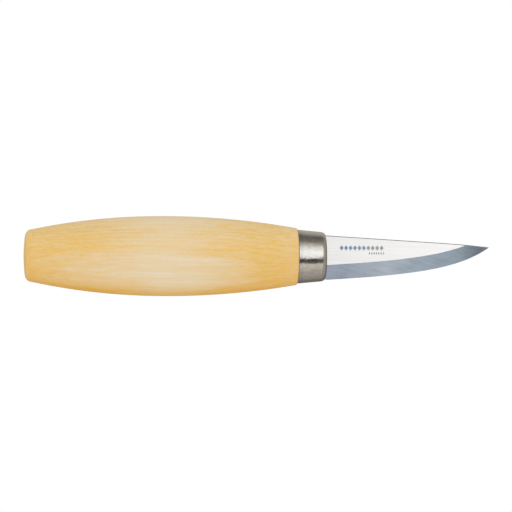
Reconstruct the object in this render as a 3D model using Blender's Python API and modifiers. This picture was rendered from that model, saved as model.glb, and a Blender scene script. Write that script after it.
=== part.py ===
"""Whittling knife: an oval birch handle, a drawn steel ferrule on its tenon, and a carbon-steel blade
whose stick tang passes through the ferrule's slot and is bonded into the handle's bore.

The knife lies on its side. X runs along the handle's axis towards the blade's tip, Y runs up the
blade from its edge to its spine, and Z is up. The origin is under the middle of the whole knife, on
the surface that it lies on. Lengths along the knife are measured from the shoulder, the plane where
the handle's wood stops and the ferrule starts. All sizes are in metres.
"""

import math

import bmesh
import bpy
from mathutils import Vector
from mathutils.geometry import interpolate_bezier

# The whole knife
OVERALL_LENGTH = 0.165
HANDLE_LENGTH = 0.0967  # butt to shoulder
FERRULE_LENGTH = 0.01  # shoulder to the ferrule's front
OVAL = 0.8  # thickness over height, for the handle and the ferrule alike
GAP = 0.0003  # between neighbouring pieces
TURN_STEPS = 48  # facets round the handle

# Handle
BELLY_HALF_HEIGHT = 0.0141
BELLY_TO_SHOULDER = 0.0467
BUTT_DROP = 0.00545  # how far the outline has fallen from the belly at the butt
BUTT_POWER = 2.08
SHOULDER_DROP = 0.00412  # and at the shoulder
SHOULDER_POWER = 2.0
BUTT_ROUNDING = 0.0024
BUTT_DOME = 0.00045  # how far the end face bulges
SHOULDER_ROUNDING = 0.0007
HANDLE_STATIONS = 22

# Ferrule
FERRULE_REAR_HALF_HEIGHT = 0.00945
FERRULE_FRONT_HALF_HEIGHT = 0.00858
FERRULE_WALL = 0.0008
FERRULE_ROUNDING = 0.0013
ARC_STEPS = 5

# Blade, as heights from the handle's axis and distances from the blade's shoulder
BLADE_THICKNESS = 0.0027
EDGE_HEEL = Vector((0.0, -0.00817))
EDGE_HEEL_HANDLE = Vector((0.034, -0.00614))
EDGE_TIP_HANDLE = Vector((0.0478, -0.0036))
SPINE_ROOT_HEIGHT = 0.0075
SPINE_SLOPE = 0.061
SPINE_DROP_START = 0.042
SPINE_DROP_RATE = 1.8  # fall in metres per square metre past that point
BEVEL_HEIGHT = 0.00525  # up the side, from the edge to where the full thickness starts
SPINE_CHAMFER = 0.0003
BLADE_STATIONS = 30

# Tang and the hole that it is bonded into
TANG_LENGTH = 0.076  # back from the blade's shoulder
TANG_ROOT_HEIGHT = 0.007
TANG_END_HEIGHT = 0.004
TANG_ROOT_THICKNESS = 0.0023
TANG_END_THICKNESS = 0.0018
TANG_IN_BLADE = 0.003  # how far the tang's block reaches into the blade that it is joined to
BORE_RADIUS = 0.0045
BORE_DEPTH = 0.07  # back from the shoulder, at full diameter
DRILL_HALF_ANGLE = math.radians(59)
BORE_STEPS = 24

AXIS_HEIGHT = OVAL * BELLY_HALF_HEIGHT
SHOULDER_X = HANDLE_LENGTH - OVERALL_LENGTH / 2
BUTT_X = SHOULDER_X - HANDLE_LENGTH
FERRULE_REAR_X = SHOULDER_X + GAP
FERRULE_FRONT_X = SHOULDER_X + FERRULE_LENGTH
BLADE_X = FERRULE_FRONT_X + GAP
BLADE_LENGTH = OVERALL_LENGTH / 2 - BLADE_X
TENON_FRONT_X = FERRULE_FRONT_X - FERRULE_WALL - GAP


def clear_scene():
    for obj in list(bpy.data.objects):
        bpy.data.objects.remove(obj)


def new_collection(name):
    collection = bpy.data.collections.new(name)
    bpy.context.scene.collection.children.link(collection)
    return collection


def material(name, colour, roughness, metallic=0.0):
    made = bpy.data.materials.new(name)
    made.use_nodes = True
    shader = made.node_tree.nodes["Principled BSDF"]
    shader.inputs["Base Color"].default_value = (*colour, 1.0)
    shader.inputs["Roughness"].default_value = roughness
    shader.inputs["Metallic"].default_value = metallic
    return made


def place(name, mesh, collection, location=(0, 0, AXIS_HEIGHT), made_of=None):
    obj = bpy.data.objects.new(name, mesh)
    obj.location = location
    collection.objects.link(obj)
    if made_of:
        mesh.materials.append(made_of)
    return obj


def as_cutter(obj):
    obj.hide_render = True
    obj.display_type = "WIRE"
    return obj


def arc(centre, radius, start, end, steps):
    """Points round a centre, from one angle to another, both in degrees from the X axis."""
    angles = [math.radians(start + (end - start) * i / steps) for i in range(steps + 1)]
    return [(centre[0] + radius * math.cos(a), centre[1] + radius * math.sin(a)) for a in angles]


def turned(name, profile, collection, steps, made_of=None, oval=1.0):
    """A solid turned about the handle's axis. The profile holds (x, radius) points, and its outer
    side runs from the tip's end to the butt's end. Oval presses the round section flatter."""
    mesh = bpy.data.meshes.new(name)
    points = [(x, radius, 0) for x, radius in profile]
    mesh.from_pydata(points, [(i, i + 1) for i in range(len(points) - 1)], [])
    obj = place(name, mesh, collection, made_of=made_of)
    obj.scale.z = oval
    turn = obj.modifiers.new("Turn", "SCREW")
    turn.axis = "X"
    turn.steps = steps
    turn.render_steps = steps
    turn.use_merge_vertices = True
    turn.merge_threshold = 1e-6
    turn.use_smooth_shade = False
    return obj


def boolean(obj, operation, other):
    modifier = obj.modifiers.new(operation.title(), "BOOLEAN")
    modifier.operation = operation
    modifier.object = other


def handle_half_height(x):
    """The barrel's outline: one power curve from the belly to the butt, and one to the shoulder."""
    from_belly = x - (SHOULDER_X - BELLY_TO_SHOULDER)
    if from_belly > 0:
        return BELLY_HALF_HEIGHT - SHOULDER_DROP * (from_belly / BELLY_TO_SHOULDER) ** SHOULDER_POWER
    belly_to_butt = HANDLE_LENGTH - BELLY_TO_SHOULDER
    return BELLY_HALF_HEIGHT - BUTT_DROP * (-from_belly / belly_to_butt) ** BUTT_POWER


def ferrule_half_height(x):
    """The ferrule's straight taper."""
    share = (x - FERRULE_REAR_X) / (FERRULE_FRONT_X - FERRULE_REAR_X)
    return FERRULE_REAR_HALF_HEIGHT + (FERRULE_FRONT_HALF_HEIGHT - FERRULE_REAR_HALF_HEIGHT) * share


def tenon_profile():
    """The wood inside the ferrule, from the middle of its front face back to the shoulder."""
    inset = FERRULE_WALL + GAP
    return [
        (TENON_FRONT_X, 0),
        (TENON_FRONT_X, ferrule_half_height(TENON_FRONT_X) - inset - GAP),
        (SHOULDER_X, ferrule_half_height(SHOULDER_X) - inset),
    ]


def barrel_profile():
    """The handle's visible outline, from the rounded shoulder to the middle of the domed butt."""
    shoulder_x = SHOULDER_X - SHOULDER_ROUNDING
    shoulder = (shoulder_x, handle_half_height(shoulder_x) - SHOULDER_ROUNDING)
    butt_x = BUTT_X + BUTT_DOME + BUTT_ROUNDING
    butt = (butt_x, handle_half_height(butt_x) - BUTT_ROUNDING)
    step = (butt_x - shoulder_x) / HANDLE_STATIONS
    stations = [shoulder_x + step * i for i in range(1, HANDLE_STATIONS)]
    points = arc(shoulder, SHOULDER_ROUNDING, 0, 90, ARC_STEPS - 1)
    points += [(x, handle_half_height(x)) for x in stations]
    points += arc(butt, BUTT_ROUNDING, 90, 180, ARC_STEPS)
    half_way = butt[1] / 2
    points += [(BUTT_X + BUTT_DOME / 4, half_way), (BUTT_X, 0)]
    return points


def bore_profile(inset):
    """A drilled blind hole with a conical bottom. Inset shrinks it, for what fills the hole."""
    radius = BORE_RADIUS - inset
    bottom = SHOULDER_X - BORE_DEPTH + inset
    point = bottom - radius / math.tan(DRILL_HALF_ANGLE)
    return radius, bottom, point


def make_handle(parts, cutters):
    birch = material("birch", (0.79, 0.56, 0.29), 0.5)
    handle = turned("handle", tenon_profile() + barrel_profile(), parts, TURN_STEPS, birch, OVAL)
    radius, bottom, point = bore_profile(0)
    mouth = TENON_FRONT_X + FERRULE_WALL
    profile = [(mouth, 0), (mouth, radius), (bottom, radius), (point, 0)]
    boolean(handle, "DIFFERENCE", as_cutter(turned("bore_cutter", profile, cutters, BORE_STEPS)))


def make_ferrule(parts, cutters):
    steel = material("ferrule_steel", (0.62, 0.60, 0.56), 0.3, 1.0)
    outer_x = FERRULE_FRONT_X - FERRULE_ROUNDING
    outer = (outer_x, ferrule_half_height(outer_x) - FERRULE_ROUNDING)
    inner_rounding = FERRULE_ROUNDING - FERRULE_WALL
    inside_front = FERRULE_FRONT_X - FERRULE_WALL
    profile = [(FERRULE_FRONT_X, 0)]
    profile += arc(outer, FERRULE_ROUNDING, 0, 90, ARC_STEPS)
    profile += [
        (FERRULE_REAR_X, ferrule_half_height(FERRULE_REAR_X)),
        (FERRULE_REAR_X, ferrule_half_height(FERRULE_REAR_X) - FERRULE_WALL),
    ]
    profile += arc(outer, inner_rounding, 90, 0, 2)
    profile += [(inside_front, 0)]
    ferrule = turned("ferrule", profile, parts, TURN_STEPS, steel, OVAL)

    slot = bmesh.new()
    bmesh.ops.create_cube(slot, size=1)
    size = (4 * FERRULE_WALL, TANG_ROOT_HEIGHT + 2 * GAP, TANG_ROOT_THICKNESS + 2 * GAP)
    bmesh.ops.scale(slot, vec=size, verts=slot.verts)
    middle = (FERRULE_FRONT_X - FERRULE_WALL / 2, 0, AXIS_HEIGHT)
    cutter = place("slot_cutter", mesh_from(slot, "slot_cutter"), cutters, middle)
    boolean(ferrule, "DIFFERENCE", as_cutter(cutter))


def mesh_from(shape, name):
    mesh = bpy.data.meshes.new(name)
    shape.to_mesh(mesh)
    shape.free()
    return mesh


def spine_height(along):
    """The spine falls in a straight line, then curves down over the last stretch to the tip."""
    past = max(0.0, along - SPINE_DROP_START)
    return SPINE_ROOT_HEIGHT - SPINE_SLOPE * along - SPINE_DROP_RATE * past**2


def blade_section(along, edge):
    """Half of a cross-section, as (height, half thickness) points: the edge, the bevel's top, both
    ends of the spine's chamfer, and the middle of the spine. Where the bevel reaches the spine, its
    top and the chamfer's start are one point."""
    full = BLADE_THICKNESS / 2
    spine = max(spine_height(along), edge)

    def half_thickness(height):
        return full * min(1.0, (height - edge) / BEVEL_HEIGHT)

    chamfer = min(SPINE_CHAMFER, 0.4 * half_thickness(spine))
    top = min(edge + BEVEL_HEIGHT, spine - chamfer)
    return [
        (edge, 0.0),
        (top, half_thickness(top)),
        (spine - chamfer, half_thickness(spine - chamfer)),
        (spine, half_thickness(spine) - chamfer),
        (spine, 0.0),
    ]


def blade_half():
    """The blade's upper half, open at its middle plane: sections lofted from the heel to the tip."""
    tip = Vector((BLADE_LENGTH, spine_height(BLADE_LENGTH)))
    edge = interpolate_bezier(EDGE_HEEL, EDGE_HEEL_HANDLE, EDGE_TIP_HANDLE, tip, BLADE_STATIONS)
    shape = bmesh.new()
    rows = []
    for point in edge:
        along, height = point.x, point.y
        rows.append([shape.verts.new((along, y, z)) for y, z in blade_section(along, height)])
    shape.faces.new(reversed(rows[0]))
    for near, far in zip(rows, rows[1:]):
        for i in range(len(near) - 1):
            shape.faces.new((near[i], near[i + 1], far[i + 1], far[i]))
    bmesh.ops.remove_doubles(shape, verts=shape.verts, dist=1e-6)
    bmesh.ops.dissolve_degenerate(shape, edges=shape.edges, dist=1e-6)
    bmesh.ops.recalc_face_normals(shape, faces=shape.faces)
    return shape


def tang_block(grow):
    """The tapered tang, along -X from the blade's shoulder. Grow makes it larger all round."""
    shape = bmesh.new()
    bmesh.ops.create_cube(shape, size=1)
    for vert in shape.verts:
        at_root = vert.co.x > 0
        height = TANG_ROOT_HEIGHT if at_root else TANG_END_HEIGHT
        thickness = TANG_ROOT_THICKNESS if at_root else TANG_END_THICKNESS
        vert.co.x = TANG_IN_BLADE if at_root else -TANG_LENGTH - grow
        vert.co.y *= height + 2 * grow
        vert.co.z *= thickness + 2 * grow
    return shape


def make_blade(parts, cutters):
    steel = material("blade_steel", (0.66, 0.68, 0.70), 0.22, 1.0)
    at_shoulder = (BLADE_X, 0, AXIS_HEIGHT)
    blade = place("blade", mesh_from(blade_half(), "blade"), parts, at_shoulder, steel)
    mirror = blade.modifiers.new("Other side", "MIRROR")
    mirror.use_axis = (False, False, True)
    mirror.merge_threshold = 1e-6
    tang = place("tang_block", mesh_from(tang_block(0), "tang_block"), cutters, at_shoulder)
    boolean(blade, "UNION", as_cutter(tang))


def make_tang_adhesive(parts, cutters):
    """The resin that fills the bore round the tang."""
    resin = material("resin", (0.52, 0.40, 0.22), 0.4)
    radius, bottom, point = bore_profile(GAP)
    profile = [(TENON_FRONT_X, 0), (TENON_FRONT_X, radius), (bottom, radius), (point, 0)]
    adhesive = turned("tang_adhesive", profile, parts, BORE_STEPS, resin)
    at_shoulder = (BLADE_X, 0, AXIS_HEIGHT)
    pocket = place("pocket_cutter", mesh_from(tang_block(GAP), "pocket_cutter"), cutters, at_shoulder)
    boolean(adhesive, "DIFFERENCE", as_cutter(pocket))


def main():
    clear_scene()
    parts = new_collection("whittling_knife")
    cutters = new_collection("cutters")
    make_handle(parts, cutters)
    make_ferrule(parts, cutters)
    make_blade(parts, cutters)
    make_tang_adhesive(parts, cutters)


main()
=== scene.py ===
"""Looks of the whittling knife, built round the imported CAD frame.

The wood, the ferrule and the blade are remade as fine meshes at the size and place of their CAD
solids, and the resin keeps its CAD solid. All materials are procedural. Lengths are in metres. X runs
along the handle towards the tip, Y from the cutting edge to the spine, and Z up from the surface that
the knife lies on.
"""

import math

import bmesh
import bpy
from mathutils import Matrix, Vector
from mathutils.geometry import interpolate_bezier


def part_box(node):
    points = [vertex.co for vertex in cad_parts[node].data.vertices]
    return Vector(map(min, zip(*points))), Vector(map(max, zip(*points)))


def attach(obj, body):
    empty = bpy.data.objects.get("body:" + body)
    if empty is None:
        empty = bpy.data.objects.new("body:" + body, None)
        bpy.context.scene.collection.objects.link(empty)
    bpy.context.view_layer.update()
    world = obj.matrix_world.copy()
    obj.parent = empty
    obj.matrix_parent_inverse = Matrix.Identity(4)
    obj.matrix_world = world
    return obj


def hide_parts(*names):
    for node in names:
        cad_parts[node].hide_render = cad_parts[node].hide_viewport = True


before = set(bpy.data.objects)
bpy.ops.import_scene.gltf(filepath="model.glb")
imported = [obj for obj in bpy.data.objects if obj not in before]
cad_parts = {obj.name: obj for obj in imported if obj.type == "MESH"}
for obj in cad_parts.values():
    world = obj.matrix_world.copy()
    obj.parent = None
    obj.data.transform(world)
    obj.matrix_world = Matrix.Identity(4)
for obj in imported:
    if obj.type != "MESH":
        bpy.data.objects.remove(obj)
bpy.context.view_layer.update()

HANDLE_LOW, HANDLE_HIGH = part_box("handle")
FERRULE_LOW, FERRULE_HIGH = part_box("ferrule")
BLADE_LOW, BLADE_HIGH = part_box("blade")

# The handle, with its outline as in the CAD
OVAL = 0.8  # thickness over height
BELLY = (HANDLE_HIGH.y - HANDLE_LOW.y) / 2
AXIS_Z = OVAL * BELLY
GAP = 0.0003  # between neighbouring pieces of the CAD
FIT = 0.00005  # the hairline left here between two pieces that meet
BUTT_X = HANDLE_LOW.x
SHOULDER_X = FERRULE_LOW.x - GAP  # where the wood stops and the ferrule starts
BELLY_X = SHOULDER_X - 0.0467
BUTT_DROP = 0.00545  # how far the outline has fallen from the belly at the butt
BUTT_POWER = 2.08
SHOULDER_DROP = 0.00412  # and at the shoulder
SHOULDER_POWER = 2.0
BUTT_ROUNDING = 0.0024
BUTT_DOME = 0.00045  # how far the end face bulges
SHOULDER_ROUNDING = 0.0007
BORE_RADIUS = 0.0045
BORE_DEPTH = 0.07  # back from the shoulder, at full diameter
DRILL_POINT = 0.6  # the bore's conical end, its depth over its radius
TURN_STEPS = 160  # facets round the handle and the ferrule

# The ferrule
FERRULE_REAR_X = SHOULDER_X + FIT
FERRULE_FRONT_X = FERRULE_HIGH.x
FERRULE_REAR = (FERRULE_HIGH.y - FERRULE_LOW.y) / 2  # half its height at the wood
FERRULE_FRONT = 0.00858  # and at the front
FERRULE_WALL = 0.0008
FERRULE_ROUNDING = (0.0021, 0.0014)  # of the front edge: along the axis, and across it
REAR_ROUNDING = 0.0001
LIP_LENGTH = 0.0007  # straight band round the ferrule's open end, up to a fine groove
GROOVE_DEPTH = 0.00003
GROOVE_HALF_WIDTH = 0.00012
GROOVE_STEP = 0.00001  # how much lower the groove's front side is

# The blade, in distances from its root and heights from the handle's axis
BLADE_ROOT_X = FERRULE_FRONT_X + FIT
CAD_ROOT_X = FERRULE_FRONT_X + GAP
BLADE_LENGTH = BLADE_HIGH.x - CAD_ROOT_X
BLADE_THICKNESS = BLADE_HIGH.z - BLADE_LOW.z
EDGE_HEEL = Vector((0.0, -0.00817))  # the edge is one curve from here to the tip, with two handles
EDGE_HEEL_HANDLE = Vector((0.034, -0.00614))
EDGE_TIP_HANDLE = Vector((0.0478, -0.0036))
SPINE_ROOT_HEIGHT = 0.0075
SPINE_SLOPE = 0.061
SPINE_DROP_START = 0.042
SPINE_DROP_RATE = 1.8  # fall in metres per square metre past that point
BEVEL_HEIGHT = 0.00525  # up the side, from the edge to where the full thickness starts
SPINE_CHAMFER = 0.00025
CHAMFER_SHARE = 0.4  # the most that a chamfer takes of the half thickness, near the tip
WELD = 1e-6  # points closer than this become one
TANG_HEIGHTS = (0.007, 0.004)  # at the blade, and at the tang's far end
TANG_THICKNESSES = (0.0023, 0.0018)
TANG_IN_BLADE = 0.003  # how far the tang reaches into the blade that it is joined to
SLOT_REACH = 0.002  # how far the cutter of the tang's slot reaches from the ferrule's front, both ways

# Shader building


MM = 1000.0  # shader coordinates are read in millimetres


class Shader:
    """A node tree, with short ways to add nodes to it and join them."""

    def __init__(self, owner):
        owner.use_nodes = True
        self.tree = owner.node_tree
        self.tree.nodes.clear()

    def set(self, socket, value):
        """Links another node's output to the socket, or gives it a plain value."""
        if isinstance(value, bpy.types.NodeSocket):
            self.tree.links.new(value, socket)
        else:
            socket.default_value = value

    def node(self, kind, inputs=None, **settings):
        """Adds a node. The inputs go to its sockets, by name or number, and the settings to itself."""
        made = self.tree.nodes.new("ShaderNode" + kind)
        for name, value in settings.items():
            setattr(made, name, value)
        for name, value in (inputs or {}).items():
            self.set(made.inputs[name], value)
        return made

    def math(self, operation, first, second=0.0):
        return self.node("Math", {0: first, 1: second}, operation=operation).outputs[0]

    def add(self, first, *others):
        for other in others:
            first = self.math("ADD", first, other)
        return first

    def multiply(self, first, *others):
        for other in others:
            first = self.math("MULTIPLY", first, other)
        return first

    def vector(self, operation, first, second=(0, 0, 0)):
        made = self.node("VectorMath", {0: first, 1: second}, operation=operation)
        return made.outputs["Value" if operation == "LENGTH" else "Vector"]

    def scaled(self, vector, factor):
        made = self.node("VectorMath", {0: vector, "Scale": factor}, operation="SCALE")
        return made.outputs["Vector"]

    def smooth(self, value, low, high, start=0.0, end=1.0):
        """Goes from start to end, smoothly, as value goes from low to high."""
        inputs = {"Value": value, "From Min": low, "From Max": high, "To Min": start, "To Max": end}
        made = self.node("MapRange", inputs, interpolation_type="SMOOTHSTEP")
        return made.outputs["Result"]

    def noise(self, vector, scale=1.0, detail=2.0, roughness=0.5):
        inputs = {"Vector": vector, "Scale": scale, "Detail": detail, "Roughness": roughness}
        return self.node("TexNoise", inputs).outputs["Fac"]

    def swing(self, noise, amount):
        """How far a noise is from its middle value, times an amount."""
        return self.multiply(self.math("SUBTRACT", noise, 0.5), amount)

    def ramp(self, value, stops):
        """The colour at a value from 0 to 1, between stops that are (place, colour) pairs."""
        made = self.node("ValToRGB", {"Fac": value})
        elements = made.color_ramp.elements
        for place, colour in stops[len(elements):]:
            elements.new(place)
        for element, (place, colour) in zip(elements, stops):
            element.position = place
            element.color = (*colour, 1.0)
        return made.outputs["Color"]

    def mix(self, share, first, second):
        """A colour that goes from the first to the second as the share goes from 0 to 1."""
        made = self.node("Mix", {0: share, 6: first, 7: second}, data_type="RGBA")
        return made.outputs[2]

    def parts(self, vector):
        return self.node("SeparateXYZ", {0: vector}).outputs

    def normal(self):
        """The X, Y and Z of the surface's direction, in the object's own axes."""
        return self.parts(self.node("TexCoord").outputs["Normal"])

    def millimetres(self, centre=(0, 0, 0), turn=(0, 0, 0), stretch=(1, 1, 1)):
        """The point being shaded, in millimetres from a centre, turned and then stretched."""
        place = self.node("TexCoord").outputs["Object"]
        moved = self.vector("SUBTRACT", place, centre)
        turned = self.node("Mapping", {"Vector": moved, "Rotation": turn}).outputs["Vector"]
        return self.vector("MULTIPLY", turned, [MM * s for s in stretch])

    def bump(self, height, strength, distance):
        inputs = {"Height": height, "Strength": strength, "Distance": distance}
        return self.node("Bump", inputs).outputs[0]

    def output(self, closure, kind="OutputMaterial"):
        self.node(kind, {"Surface": closure.outputs[0]})

    def principled(self, inputs):
        self.output(self.node("BsdfPrincipled", inputs))


def linear(red, green, blue):
    """A colour given as 0 to 255 display values, in linear light."""
    return tuple(((v / 255 + 0.055) / 1.055) ** 2.4 if v > 10 else v / 3294 for v in (red, green, blue))


def opaque(colour):
    """A colour with full alpha, as a colour socket takes it."""
    return (*colour, 1.0)


# Birch. Its lengths are in millimetres, along the handle from the belly towards the blade, and
# across it towards the spine's side. Its tones are 0 for the heartwood and 1 for the sapwood.


WOOD_CENTRE = (BELLY_X, 0, AXIS_Z)
GRAIN_LEAN = math.radians(22)  # how far the growth rings' outward direction leans towards the edge
PITH_DISTANCE = 60.0  # from the handle's axis to the tree's centre
GRAIN_BOW = 0.00098  # bend of the rings along the handle, per millimetre
GRAIN_TILT = 0.016  # and their slope along it
RING_SPACING = 0.95
HEARTWOOD = linear(222, 179, 82)
SAPWOOD = linear(222, 209, 184)
PALEST_WOOD = linear(224, 218, 214)
PALEST_TONE = 1.4
VESSEL_BROWN = linear(205, 150, 82)
JOINT_SHADE = linear(128, 88, 48)  # painted shade in the crease where the wood meets the ferrule
END_GRAIN_TONE = 0.16
END_GRAIN_LIGHT = linear(242, 201, 132)  # painted light, mixed in to make the end grain lighter than the sides, which get more light

# The broad areas of the figure, with the painted sheen and shade at the rims: how much each adds to
# the tone, and where it starts and stops. The facing is the Y of the surface's direction.
BASE_TONE = 0.21
BELLY_TONE = 0.38
BELLY_REACH = 19.0
LENS_TONE = 0.44  # the long pale lens where the surface cuts through the outer rings
LENS_RINGS = (9.6, 11.4)
LENS_MIDDLE = -7.0
LENS_FADE = (20.0, 60.0)
WEDGE_TONE = -0.12  # a golden wedge on the edge's side, between the belly and the butt
WEDGE_ACROSS = (-8.0, -6.5)
WEDGE_MIDDLE = -21.0
WEDGE_FADE = (6.0, 20.0)
NECK_TONE = 0.09  # close to the ferrule
NECK_ALONG = (36.0, 46.0)
UPPER_RIM_SHEEN = 0.11  # painted sheen where the barrel turns away, on the spine's side
UPPER_SHEEN_FACING = (0.55, 0.9)
LOWER_RIM_SHADE = -0.16  # and painted shade on the edge's side
LOWER_SHADE_ACROSS = (-13.0, -9.5)


def wood_noise(shader, stretch, detail=2, roughness=0.5):
    """Noise that is fixed to the wood, and long in the directions where the stretch is small."""
    point = shader.millimetres(WOOD_CENTRE, stretch=stretch)
    return shader.noise(point, detail=detail, roughness=roughness)


def growth_ring(shader, point, along, across):
    """How far out the growth ring at a point lies, counted from the handle's axis and away from the
    tree's centre. The rings drift and ripple as in real wood, most on the edge's side."""
    outward = Vector((0, -math.sin(GRAIN_LEAN), math.cos(GRAIN_LEAN)))
    flat = shader.vector("MULTIPLY", point, (0, 1, 1))
    from_pith = shader.vector("ADD", flat, outward * PITH_DISTANCE)
    radius = shader.vector("LENGTH", from_pith)
    bow = shader.multiply(along, along, GRAIN_BOW)
    tilt = shader.multiply(along, -GRAIN_TILT)
    drift = shader.swing(wood_noise(shader, (0.02, 0.12, 0.12), detail=3), 1.2)
    rippling = shader.smooth(across, -3.0, 4.0, 2.2, 0.5)
    ripple = shader.swing(wood_noise(shader, (0.04, 0.5, 0.5)), rippling)
    return shader.add(radius, bow, tilt, -PITH_DISTANCE, drift, ripple)


def broad_tone(shader, along, across, ring):
    """The tone of the figure's broad areas: a paler belly, lens and neck, and a golden wedge; with a
    painted sheen on the upper rim and painted shade on the lower rim."""
    from_belly = shader.math("DIVIDE", along, BELLY_REACH)
    belly = shader.math("EXPONENT", shader.multiply(from_belly, from_belly, -1.0))
    from_lens = shader.math("ABSOLUTE", shader.math("SUBTRACT", along, LENS_MIDDLE))
    lens_tone = shader.smooth(from_lens, *LENS_FADE, LENS_TONE, 0.0)
    from_wedge = shader.math("ABSOLUTE", shader.math("SUBTRACT", along, WEDGE_MIDDLE))
    wedge_tone = shader.smooth(from_wedge, *WEDGE_FADE, WEDGE_TONE, 0.0)
    return shader.add(
        shader.multiply(belly, BELLY_TONE),
        BASE_TONE,
        shader.multiply(shader.smooth(ring, *LENS_RINGS), lens_tone),
        shader.multiply(shader.smooth(across, *WEDGE_ACROSS, 1.0, 0.0), wedge_tone),
        shader.smooth(along, *NECK_ALONG, 0.0, NECK_TONE),
        # painted sheen on the upper rim
        shader.smooth(shader.normal()["Y"], *UPPER_SHEEN_FACING, 0.0, UPPER_RIM_SHEEN),
        # painted shade on the lower rim
        shader.smooth(across, *LOWER_SHADE_ACROSS, LOWER_RIM_SHADE, 0.0),
    )


def wood_tone(shader, streaks, fibres, on_end):
    """The tone of the barrel's sides, and of the end grain as far as the wood is on the end."""
    point = shader.millimetres(WOOD_CENTRE)
    along, across = [shader.parts(point)[axis] for axis in "XY"]
    ring = growth_ring(shader, point, along, across)
    # Each ring has a tone of its own, which changes slowly along the handle
    ring_place = shader.node("CombineXYZ", {"X": ring, "Y": shader.multiply(along, 0.012)})
    ring_tone = shader.noise(ring_place.outputs[0], scale=1.1, detail=3, roughness=0.6)
    latewood = shader.math("SINE", shader.multiply(ring, 2 * math.pi / RING_SPACING))
    patchy = shader.smooth(wood_noise(shader, (0.06, 0.3, 0.3)), 0.35, 0.65, 0.35, 1.0)
    mottle = wood_noise(shader, (0.05, 0.4, 0.4))
    speckle = wood_noise(shader, (2.0, 1.5, 1.5), detail=1)
    lively = shader.smooth(across, -5.0, 4.0, 0.75, 1.1)
    fine = shader.add(shader.swing(fibres, 1.2), shader.swing(speckle, 0.42))
    sides = shader.add(
        broad_tone(shader, along, across, ring),
        shader.swing(ring_tone, shader.smooth(ring, 9.0, 11.0, 0.25, 0.8)),
        shader.multiply(latewood, 0.1, patchy),
        shader.swing(streaks, 0.8),
        shader.swing(mottle, 0.25),
        shader.multiply(fine, lively),
    )
    ends = shader.add(
        shader.swing(ring_tone, 1.0),
        shader.multiply(latewood, 0.3),
        shader.swing(fibres, 1.2),
        END_GRAIN_TONE,
    )
    return shader.add(sides, shader.multiply(shader.math("SUBTRACT", ends, sides), on_end))


def birch():
    """Oiled birch: growth rings, a paler belly, fibres along the handle and short vessel lines."""
    made = bpy.data.materials.new("birch")
    shader = Shader(made)
    streaks = wood_noise(shader, (0.02, 1.9, 0.9), detail=4, roughness=0.6)
    fibres = wood_noise(shader, (0.035, 6.0, 2.8), roughness=0.6)
    on_end = shader.smooth(shader.math("ABSOLUTE", shader.normal()["X"]), 0.6, 0.95)
    tone = shader.math("DIVIDE", wood_tone(shader, streaks, fibres, on_end), PALEST_TONE)
    colour = shader.ramp(tone, [(0.0, HEARTWOOD), (1 / PALEST_TONE, SAPWOOD), (1.0, PALEST_WOOD)])
    # Painted light: the end face is lightened to make up for the dimmer light that it gets
    colour = shader.mix(shader.multiply(on_end, 0.5), colour, opaque(END_GRAIN_LIGHT))
    vessels = shader.smooth(wood_noise(shader, (0.5, 9.0, 9.0), detail=1), 0.66, 0.74)
    colour = shader.mix(shader.multiply(vessels, 0.15), colour, opaque(VESSEL_BROWN))
    # Painted shade, a darker brown, in the crease where the wood meets the ferrule
    from_joint = shader.parts(shader.millimetres((SHOULDER_X, 0, 0)))["X"]
    joint_shade = shader.smooth(from_joint, -0.5, -0.1, 0.0, 0.4)
    colour = shader.mix(joint_shade, colour, opaque(JOINT_SHADE))
    height = shader.add(fibres, shader.multiply(vessels, -0.8))
    shader.principled({
        "Base Color": colour,
        "Roughness": shader.smooth(streaks, 0.3, 0.7, 0.42, 0.55),
        "Specular IOR Level": 0.4,
        "Normal": shader.bump(height, strength=0.12, distance=0.00004),
    })
    return made


# Steel, resin and ink. Their lengths are in millimetres too.


FERRULE_TONES = [(0.3, (0.60, 0.585, 0.56)), (0.7, (0.70, 0.685, 0.665))]
FERRULE_EDGE_SHADE = (0.30, 0.26, 0.21)  # painted shade: the dark brown at the front edge, where it meets the blade, and on the front wall
FERRULE_SHADE_ALONG = (-1.6, -0.1)  # from the ferrule's front
FERRULE_LIP_REFLECTION = (0.42, 0.43, 0.43)  # painted darker reflection of the lip round the open end
FERRULE_LIP_ALONG = (-8.8, -8.4)


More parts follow.
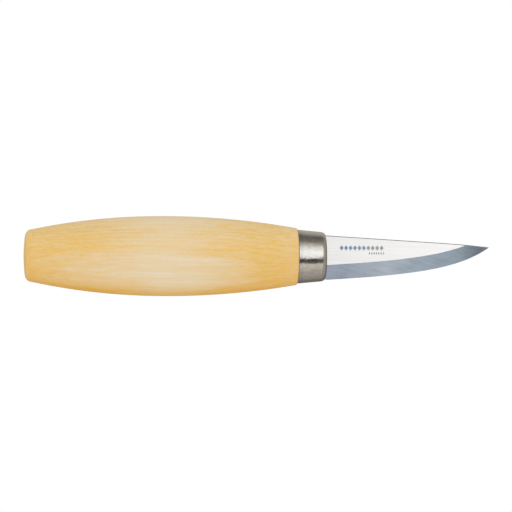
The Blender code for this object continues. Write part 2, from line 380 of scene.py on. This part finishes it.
def drawn_steel():
    """The ferrule's steel: polished, slightly warm, and a little uneven from the drawing. Dark brown
    painted shade lies at its front edge where it meets the blade, most in the middle of its height,
    and on its front wall, which is also satin. A darker band round the open end is a painted
    reflection of the lip."""
    made = bpy.data.materials.new("drawn_steel")
    shader = Shader(made)
    dents = shader.noise(shader.millimetres(stretch=(0.45, 0.45, 0.45)))
    grit = shader.noise(shader.millimetres(stretch=(2.2, 2.2, 2.2)), detail=3, roughness=0.6)
    rings = shader.noise(shader.millimetres(stretch=(4.0, 0.4, 0.4)))
    stain = shader.noise(shader.millimetres(stretch=(0.6, 0.9, 0.9)), detail=3)
    place = shader.parts(shader.millimetres((FERRULE_FRONT_X, 0, AXIS_Z)))
    on_wall = shader.smooth(shader.normal()["X"], 0.95, 0.995)
    shaded_edge = shader.smooth(place["X"], *FERRULE_SHADE_ALONG)
    in_middle = shader.smooth(shader.math("ABSOLUTE", place["Y"]), 3.5, 7.0, 0.9, 0.3)
    # Painted shade at the front edge where it meets the blade, and on the front wall
    painted_shade = shader.math("MAXIMUM", shader.multiply(shaded_edge, in_middle), on_wall)
    # A painted darker reflection of the lip round the open end
    lip_reflection = shader.smooth(place["X"], *FERRULE_LIP_ALONG, 0.35, 0.0)
    colour = shader.mix(painted_shade, shader.ramp(stain, FERRULE_TONES), opaque(FERRULE_EDGE_SHADE))
    colour = shader.mix(lip_reflection, colour, opaque(FERRULE_LIP_REFLECTION))
    polish = shader.smooth(grit, 0.3, 0.75, 0.12, 0.24)
    height = shader.add(dents, shader.multiply(grit, 0.035), shader.multiply(rings, 0.02))
    shader.principled({
        "Base Color": colour,
        "Metallic": 1.0,
        "Roughness": shader.add(polish, shader.multiply(on_wall, 0.3)),
        "Normal": shader.bump(height, strength=0.8, distance=0.0001),
    })
    return made


BLADE_ROOT = (BLADE_ROOT_X, 0, AXIS_Z)
GRIND_TURN = math.radians(16)  # the grinding lines fall towards the tip
# The flat grows paler towards the tip: painted reflection of the studio's brightness along the blade
FLAT_REFLECTION_TONES = [(0.0, (0.72, 0.72, 0.72)), (0.35, (0.76, 0.76, 0.76)), (0.7, (0.82, 0.82, 0.82))]
# The bevel's blue-grey along the blade, and its darker tip, are painted reflection
BEVEL_REFLECTION_TONES = [
    (0.0, (0.42, 0.52, 0.67)),
    (0.12, (0.41, 0.49, 0.65)),
    (0.36, (0.54, 0.64, 0.80)),
    (0.6, (0.46, 0.58, 0.74)),
    (0.75, (0.46, 0.58, 0.75)),
    (0.84, (0.41, 0.52, 0.66)),
    (0.94, (0.28, 0.36, 0.51)),
    (1.0, (0.35, 0.39, 0.52)),
]
SPINE_TONES = [(0.0, (0.70, 0.69, 0.68)), (1.0, (0.80, 0.79, 0.78))]


def brushed_steel(name, tones, roughness, turn, lines):
    """Carbon steel with grinding lines that run at the given turn about Z, and vary in brightness by
    the given share. Its tones are colours at shares of the way from the blade's root to its tip; on
    the flat and the bevel they are painted reflection."""
    made = bpy.data.materials.new(name)
    shader = Shader(made)
    along = shader.parts(shader.millimetres(BLADE_ROOT))["X"]
    tone = shader.ramp(shader.math("DIVIDE", along, BLADE_LENGTH * MM), tones)
    fine = shader.noise(shader.millimetres(BLADE_ROOT, (0, 0, turn), (0.03, 2.2, 2.2)))
    broad = shader.noise(shader.millimetres(BLADE_ROOT, (0, 0, turn), (0.03, 0.9, 0.9)))
    cloud = shader.noise(shader.millimetres(BLADE_ROOT, stretch=(0.12, 0.3, 0.3)))
    bright = shader.smooth(shader.add(fine, broad, cloud), 0.9, 2.1, 1.0 - lines, 1.0 + lines)
    shader.principled({
        "Base Color": shader.scaled(tone, bright),
        "Metallic": 1.0,
        "Roughness": shader.smooth(fine, 0.25, 0.8, roughness * 0.85, roughness * 1.2),
        "Normal": shader.bump(fine, strength=0.15, distance=0.000002),
    })
    return made


RESIN_TONES = [(0.3, linear(150, 112, 62)), (0.75, linear(196, 160, 104))]


def cured_resin():
    """The amber resin in the bore."""
    made = bpy.data.materials.new("cured_resin")
    shader = Shader(made)
    cloud = shader.noise(shader.millimetres(stretch=(0.3, 0.6, 0.6)), detail=4)
    shader.principled({
        "Base Color": shader.ramp(cloud, RESIN_TONES),
        "Roughness": 0.4,
        "Normal": shader.bump(cloud, strength=0.3, distance=0.0001),
    })
    return made


INK_TONES = [(0.35, linear(100, 134, 168)), (0.65, linear(126, 150, 178)), (1.0, linear(152, 155, 160))]


def etched_ink():
    """The blue-grey of an etched and inked mark, a little worn, and paler towards the tip."""
    made = bpy.data.materials.new("etched_ink")
    shader = Shader(made)
    along = shader.parts(shader.millimetres(BLADE_ROOT))["X"]
    wear = shader.noise(shader.millimetres(BLADE_ROOT, stretch=(2.0, 4.0, 4.0)), detail=4)
    fade = shader.smooth(along, 12.0, 17.0, 0.0, 0.5)
    shader.principled({"Base Color": shader.ramp(shader.add(wear, fade), INK_TONES), "Roughness": 0.6})
    return made


# Meshes


def arc(centre, radius, start, end, steps):
    """Points round a centre, from one angle to another, both in degrees from the X axis."""
    angles = [math.radians(start + (end - start) * i / steps) for i in range(steps + 1)]
    return [(centre[0] + radius * math.cos(a), centre[1] + radius * math.sin(a)) for a in angles]


def piece(name, shape, materials, stands_for, sharp_degrees):
    """A finished mesh piece on the knife's only body, with its edges sharp past an angle."""
    bmesh.ops.recalc_face_normals(shape, faces=shape.faces)
    mesh = bpy.data.meshes.new(name)
    shape.to_mesh(mesh)
    shape.free()
    mesh.shade_smooth()
    mesh.set_sharp_from_angle(angle=math.radians(sharp_degrees))
    for made in materials:
        mesh.materials.append(made)
    obj = bpy.data.objects.new(name, mesh)
    bpy.context.scene.collection.objects.link(obj)
    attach(obj, "root")
    if stands_for:
        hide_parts(stands_for)
    return obj


def revolve(profile):
    """A closed solid turned about the handle's axis. Each point of the profile is (x, half height,
    thickness over height), and its first and last points are on the axis."""
    shape = bmesh.new()
    rows = []
    for x, radius, oval in profile:
        count = TURN_STEPS if radius > 0 else 1
        turns = [2 * math.pi * i / count for i in range(count)]
        rows.append([
            shape.verts.new((x, radius * math.cos(t), AXIS_Z + oval * radius * math.sin(t)))
            for t in turns
        ])
    for near, far in zip(rows, rows[1:]):
        for i in range(TURN_STEPS):
            after = i + 1
            corners = [near[i % len(near)], near[after % len(near)]]
            corners += [far[after % len(far)], far[i % len(far)]]
            shape.faces.new(list(dict.fromkeys(corners)))
    return shape


def barrel_half_height(x):
    """The barrel's outline falls away from its belly on both sides."""
    from_belly = x - BELLY_X
    if from_belly > 0:
        return BELLY - SHOULDER_DROP * (from_belly / (SHOULDER_X - BELLY_X)) ** SHOULDER_POWER
    return BELLY - BUTT_DROP * (-from_belly / (BELLY_X - BUTT_X)) ** BUTT_POWER


def barrel_outline(stations=90, arc_steps=12, dome_steps=8):
    """From the middle of the domed butt, along the barrel, to the rounded shoulder."""
    butt_x = BUTT_X + BUTT_DOME + BUTT_ROUNDING
    butt = (butt_x, barrel_half_height(butt_x) - BUTT_ROUNDING)
    shoulder_x = SHOULDER_X - SHOULDER_ROUNDING
    shoulder = (shoulder_x, barrel_half_height(shoulder_x) - SHOULDER_ROUNDING)
    shares = [i / dome_steps for i in range(dome_steps)]
    dome = [(BUTT_X + BUTT_DOME * share**2, butt[1] * share) for share in shares]
    step = (shoulder_x - butt_x) / stations
    points = dome + arc(butt, BUTT_ROUNDING, 180, 90, arc_steps)
    points += [(butt_x + step * i, barrel_half_height(butt_x + step * i)) for i in range(1, stations)]
    return points + arc(shoulder, SHOULDER_ROUNDING, 90, 0, arc_steps // 2)


def make_handle(wood):
    """The turned barrel, its tenon inside the ferrule and its blind bore."""
    tenon_x = FERRULE_FRONT_X - FERRULE_WALL - GAP
    tenon = FERRULE_REAR - FERRULE_WALL - GAP
    tenon_front = FERRULE_FRONT - FERRULE_WALL - 2 * GAP
    bottom = SHOULDER_X - BORE_DEPTH
    profile = [(x, radius, OVAL) for x, radius in barrel_outline()]
    profile += [(SHOULDER_X, tenon, OVAL), (tenon_x, tenon_front, OVAL)]
    profile += [(tenon_x, BORE_RADIUS, 1), (bottom, BORE_RADIUS, 1)]
    profile += [(bottom - DRILL_POINT * BORE_RADIUS, 0, 1)]
    handle = piece("turned_handle", revolve(profile), [wood], "handle", sharp_degrees=40)


def ferrule_half_height(x):
    """A straight band at the open end, and then a straight taper to the front."""
    taper_x = FERRULE_REAR_X + LIP_LENGTH
    share = max(0.0, x - taper_x) / (FERRULE_FRONT_X - taper_x)
    return FERRULE_REAR + (FERRULE_FRONT - FERRULE_REAR) * share


def ferrule_edge(centre, inset, start, end, steps):
    """The rounding of the ferrule's front edge, or of its inner side at the wall's depth."""
    length, height = [size - inset for size in FERRULE_ROUNDING]
    round_points = arc((0, 0), 1, start, end, steps)
    return [(centre[0] + length * x, centre[1] + height * y) for x, y in round_points]


def ferrule_outline(stations=20, edge_steps=16, inner_steps=5, rear_steps=4):
    """From the middle of the front wall, along the outside to the open end, and back inside."""
    outer_x = FERRULE_FRONT_X - FERRULE_ROUNDING[0]
    outer = (outer_x, ferrule_half_height(outer_x) - FERRULE_ROUNDING[1])
    groove_x = FERRULE_REAR_X + LIP_LENGTH
    rear_edge = (FERRULE_REAR_X + REAR_ROUNDING, FERRULE_REAR - REAR_ROUNDING)
    taper = (outer_x - groove_x) / stations
    taper_xs = [outer_x - taper * i for i in range(1, stations)]
    points = [(FERRULE_FRONT_X, 0), (FERRULE_FRONT_X, outer[1] / 2)]
    points += ferrule_edge(outer, 0, 0, 90, edge_steps)
    points += [(x, ferrule_half_height(x)) for x in taper_xs]
    points += [
        (groove_x + GROOVE_HALF_WIDTH, FERRULE_REAR - GROOVE_STEP),
        (groove_x, FERRULE_REAR - GROOVE_DEPTH),
        (groove_x - GROOVE_HALF_WIDTH, FERRULE_REAR),
    ]
    points += arc(rear_edge, REAR_ROUNDING, 90, 180, rear_steps)
    points += [(FERRULE_REAR_X, FERRULE_REAR - FERRULE_WALL)]
    points += ferrule_edge(outer, FERRULE_WALL, 90, 0, inner_steps)
    return points + [(FERRULE_FRONT_X - FERRULE_WALL, 0)]


def combine(obj, operation, tool):
    """Cuts the tool's shape out of obj, or joins it on, and removes the tool."""
    modifier = obj.modifiers.new(operation, "BOOLEAN")
    modifier.operation = operation
    modifier.object = tool
    evaluated = obj.evaluated_get(bpy.context.evaluated_depsgraph_get())
    mesh = bpy.data.meshes.new_from_object(evaluated)
    obj.modifiers.clear()
    obj.data = mesh
    bpy.data.objects.remove(tool)


def block(name, near_x, far_x, heights, thicknesses):
    """A straight or tapered block on the handle's axis, from near_x to far_x."""
    shape = bmesh.new()
    bmesh.ops.create_cube(shape, size=1)
    for vert in shape.verts:
        end = 0 if vert.co.x > 0 else 1
        vert.co.x = (near_x, far_x)[end]
        vert.co.y *= heights[end]
        vert.co.z = AXIS_Z + vert.co.z * thicknesses[end]
    mesh = bpy.data.meshes.new(name)
    shape.to_mesh(mesh)
    shape.free()
    obj = bpy.data.objects.new(name, mesh)
    bpy.context.scene.collection.objects.link(obj)
    return obj


def make_ferrule(steel):
    """The cup on the tenon, with the tang's slot cut through its front wall."""
    profile = [(x, radius, OVAL) for x, radius in ferrule_outline()]
    ferrule = piece("drawn_ferrule", revolve(profile), [steel], "ferrule", sharp_degrees=35)
    near_x = FERRULE_FRONT_X + SLOT_REACH
    far_x = FERRULE_FRONT_X - SLOT_REACH
    height = TANG_HEIGHTS[0] + 2 * GAP
    thickness = TANG_THICKNESSES[0] + 2 * GAP
    slot = block("slot", near_x, far_x, (height, height), (thickness, thickness))
    combine(ferrule, "DIFFERENCE", slot)


def spine_height(along):
    """The spine runs straight down to the tip, and drops faster near it."""
    past = max(0.0, along - SPINE_DROP_START)
    return SPINE_ROOT_HEIGHT - SPINE_SLOPE * along - SPINE_DROP_RATE * past**2


def blade_section(along, edge):
    """Half of a cross-section, as (height, half thickness) points, from the edge to the spine."""
    full = BLADE_THICKNESS / 2
    spine = max(spine_height(along), edge)

    def half_thickness(height):
        return full * min(1.0, (height - edge) / BEVEL_HEIGHT)

    chamfer = min(SPINE_CHAMFER, CHAMFER_SHARE * half_thickness(spine))
    top = min(edge + BEVEL_HEIGHT, spine - chamfer)
    return [
        (edge, 0.0),
        (top, half_thickness(top)),
        (spine - chamfer, half_thickness(spine - chamfer)),
        (spine, half_thickness(spine) - chamfer),
    ]


FLAT, BEVEL, SPINE = range(3)  # the blade's material slots


def blade_shape(stations=150):
    """The blade lofted from its root to its tip, both sides at once."""
    tip = Vector((BLADE_LENGTH, spine_height(BLADE_LENGTH)))
    edge = interpolate_bezier(EDGE_HEEL, EDGE_HEEL_HANDLE, EDGE_TIP_HANDLE, tip, stations)
    shape = bmesh.new()
    rows = []
    for point in edge:
        x = CAD_ROOT_X + point.x if point.x > 0 else BLADE_ROOT_X
        half = blade_section(point.x, point.y)
        loop = half + [(y, -z) for y, z in reversed(half[1:])]
        rows.append([shape.verts.new((x, y, AXIS_Z + z)) for y, z in loop])
    finishes = (BEVEL, FLAT, SPINE, SPINE, SPINE, FLAT, BEVEL)
    for near, far in zip(rows, rows[1:]):
        for i, finish in enumerate(finishes):
            after = (i + 1) % len(near)
            face = shape.faces.new((near[i], near[after], far[after], far[i]))
            face.material_index = finish
    shape.faces.new(rows[0]).material_index = SPINE
    bmesh.ops.remove_doubles(shape, verts=shape.verts, dist=WELD)
    bmesh.ops.dissolve_degenerate(shape, edges=shape.edges, dist=WELD)
    return shape


def make_blade(materials):
    """The blade, and its tang in one piece with it."""
    blade = piece("ground_blade", blade_shape(), materials, "blade", sharp_degrees=8)
    tang = block("tang", CAD_ROOT_X + TANG_IN_BLADE, BLADE_LOW.x, TANG_HEIGHTS, TANG_THICKNESSES)
    combine(blade, "UNION", tang)


# The motif's rows: where each starts and ends from the blade's root, how many lozenges it has, how
# wide and tall they are, and how high the row lies above the handle's axis
MOTIF = (
    (0.0048, 0.0206, 10, 0.00145, 0.00185, 0.00313),
    (0.0151, 0.0209, 7, 0.0006, 0.00105, 0.00125),
)
MOTIF_THICKNESS = 0.00001


def make_motif(ink):
    """Plain rows of lozenges on the flat, where the real blade has its maker's lettering."""
    shape = bmesh.new()
    for start, end, count, width, height, level in MOTIF:
        for i in range(count):
            x = BLADE_ROOT_X + start + (end - start) * (i + 0.5) / count
            place = Matrix.Translation((x, level, BLADE_HIGH.z + MOTIF_THICKNESS / 2))
            size = Matrix.Diagonal((width, height, MOTIF_THICKNESS, 1))
            bmesh.ops.create_cone(
                shape, cap_ends=True, segments=4, radius1=0.5, radius2=0.5, depth=1, matrix=place @ size
            )
    piece("etched_motif", shape, [ink], None, sharp_degrees=30)


# Stage


SHADE_TINT = (1.0, 0.93, 0.825)  # what the steel sees of the table and the fill is a little warm
# How bright the steel sees the table, for each distance towards the spine's side
TABLE = (
    (-0.12, 0.38),
    (-0.06, 0.36),
    (-0.02, 0.2),
    (0.0, 0.2),
    (0.02, 0.6),
    (0.04, 0.46),
    (0.12, 0.24),
)
TABLE_SPAN = 0.24  # from the first of those distances to the last
TABLE_REACH = 2.0  # from the table's middle to its edges
TABLE_PAINT = (0.8, 0.8, 0.8)


def white_table():
    """Plain white to the camera, and pale paint to soft light. The steel sees it as a mid grey that
    is brightest beside the spine."""
    made = bpy.data.materials.new("white_table")
    made.cycles.emission_sampling = "NONE"
    shader = Shader(made)
    side = shader.parts(shader.node("TexCoord").outputs["Object"])["Y"]
    across = shader.add(shader.math("DIVIDE", side, TABLE_SPAN), 0.5)
    mirrored = shader.ramp(across, [
        (y / TABLE_SPAN + 0.5, [level * tint for tint in SHADE_TINT])
        for y, level in TABLE
    ])
    grey = shader.node("Emission", {"Color": mirrored})
    paint = shader.node("BsdfDiffuse", {"Color": opaque(TABLE_PAINT)})
    white = shader.node("Emission", {"Color": (1, 1, 1, 1)})
    seen = shader.node("LightPath").outputs
    lit = shader.node("MixShader", {0: seen["Is Camera Ray"], 1: paint.outputs[0], 2: white.outputs[0]})
    shader.output(
        shader.node("MixShader", {0: seen["Is Glossy Ray"], 1: lit.outputs[0], 2: grey.outputs[0]})
    )
    return made


def make_floor():
    """The white table that the knife lies on."""
    shape = bmesh.new()
    bmesh.ops.create_grid(shape, x_segments=1, y_segments=1, size=TABLE_REACH)
    mesh = bpy.data.meshes.new("table")
    shape.to_mesh(mesh)
    shape.free()
    mesh.materials.append(white_table())
    table = bpy.data.objects.new("table", mesh)
    bpy.context.scene.collection.objects.link(table)


# What the steel sees of the studio: for each angle from straight up, towards the spine's side, the
# brightness. A panel above it fades out on that side, and a dark gap parts it from a dimmer fill.
STUDIO = (
    (-90, 0.40),
    (-60, 0.48),
    (-31, 0.82),
    (-26.5, 0.72),
    (-22.5, 0.0),
    (-6.5, 0.0),
    (-2.5, 1.2),
    (16, 1.4),
    (32, 1.05),
    (46, 0.55),
    (62, 0.16),
    (90, 0.09),
)
STUDIO_PEAK = 1.4
PANEL_EDGE = (-0.26, -0.20)  # the Y of the directions where the fill stops and the panel starts
PANEL_REACH = (17, 42)  # where the panel fades out along the knife, in degrees from straight up
FILL_REACH = (8, 50)
AMBIENT = 0.06
SIDE_GLOW = 0.6  # far beyond the panel, towards the tip and the butt
SIDE_GLOW_REACH = (0.33, 0.8)
TINT_FADE = (0.6, 1.4)  # the brightness where the tint is full, and where it is gone
# The soft light, from the edge's side through overhead to the spine's side: dim and warm, white, and
# then a little cool
SOFT_LIGHT = [
    (0.0, (0.85, 0.4, 0.0)),
    (0.22, (1.14, 1.03, 0.66)),
    (0.42, (1.15, 1.15, 1.15)),
    (0.7, (1.10, 1.10, 1.10)),
    (1.0, (1.12, 1.18, 1.45)),
]


def reach(shader, sideways, angles):
    """Goes from 1 to 0 between two angles along the knife."""
    near, far = [math.sin(math.radians(angle)) for angle in angles]
    return shader.smooth(sideways, near, far, 1.0, 0.0)


def mirrored_studio(shader, direction):
    """What the steel's reflections see: the panel, the fill and a glow past the knife's two ends."""
    angle = shader.math("DIVIDE", shader.math("ARCTAN2", direction["Y"], direction["Z"]), math.pi)
    stops = [(degrees / 180 + 0.5, (level / STUDIO_PEAK,) * 3) for degrees, level in STUDIO]
    profile = shader.ramp(shader.add(angle, 0.5), stops)
    sideways = shader.math("ABSOLUTE", direction["X"])
    on_panel = shader.smooth(direction["Y"], *PANEL_EDGE)
    on_fill = shader.math("SUBTRACT", 1.0, on_panel)
    panel = shader.multiply(on_panel, reach(shader, sideways, PANEL_REACH))
    fill = shader.multiply(on_fill, reach(shader, sideways, FILL_REACH))
    width = shader.multiply(shader.add(panel, fill), STUDIO_PEAK)
    glow = shader.smooth(sideways, *SIDE_GLOW_REACH, AMBIENT, SIDE_GLOW)
    gloss = shader.add(shader.multiply(profile, width), glow)
    tint = shader.ramp(shader.smooth(gloss, *TINT_FADE), [(0.0, SHADE_TINT), (1.0, (1.0, 1.0, 1.0))])
    return shader.vector("MULTIPLY", tint, gloss)


def make_light():
    """A white studio. The steel's reflections see a panel and a fill, and the rest soft white light."""
    world = bpy.data.worlds.new("studio")
    bpy.context.scene.world = world
    world.cycles.sampling_method = "NONE"
    shader = Shader(world)
    direction = shader.parts(shader.node("TexCoord").outputs["Generated"])
    side = shader.multiply(shader.add(direction["Y"], 1.0), 0.5)
    soft = shader.ramp(side, SOFT_LIGHT)
    seen = shader.node("LightPath").outputs
    studio = shader.mix(seen["Is Glossy Ray"], soft, mirrored_studio(shader, direction))
    backdrop = shader.mix(seen["Is Camera Ray"], studio, (1, 1, 1, 1))
    shader.output(shader.node("Background", {"Color": backdrop}), "OutputWorld")
    bpy.context.scene.view_settings.view_transform = "Standard"


CAMERA_LEAN = math.radians(6.0)  # the camera stands this far towards the butt
CAMERA_ROLL = math.radians(0.23)
CAMERA_DISTANCE = 3.01
CAMERA_RANGE = 10.0
CAMERA_AIM = Vector((-0.0004, 0.00016, AXIS_Z))
LENS = 600  # in millimetres, as the sensor's width
SENSOR = 36


def make_camera():
    """A long lens, nearly straight above the knife."""
    data = bpy.data.cameras.new("camera")
    data.lens = LENS
    data.sensor_width = SENSOR
    data.clip_end = CAMERA_RANGE
    camera = bpy.data.objects.new("camera", data)
    bpy.context.scene.collection.objects.link(camera)
    back = Vector((-math.sin(CAMERA_LEAN), 0, math.cos(CAMERA_LEAN)))
    up = Matrix.Rotation(CAMERA_ROLL, 3, back) @ Vector((0, 1, 0))
    right = up.cross(back)
    turned = Matrix((right, up, back)).transposed().to_4x4()
    camera.matrix_world = Matrix.Translation(CAMERA_AIM + back * CAMERA_DISTANCE) @ turned
    bpy.context.scene.camera = camera


def main():
    """Makes the stage and the pieces, and gives the resin's CAD solid its material."""
    make_camera()
    make_light()
    make_floor()
    make_handle(birch())
    make_ferrule(drawn_steel())
    make_blade([
        brushed_steel("blade_flat", FLAT_REFLECTION_TONES, roughness=0.18, turn=0.0, lines=0.03),
        brushed_steel("blade_bevel", BEVEL_REFLECTION_TONES, roughness=0.2, turn=GRIND_TURN, lines=0.18),
        brushed_steel("blade_spine", SPINE_TONES, roughness=0.35, turn=0.0, lines=0.1),
    ])
    make_motif(etched_ink())
    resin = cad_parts["tang_adhesive"]
    resin.data.materials.clear()
    resin.data.materials.append(cured_resin())


main()
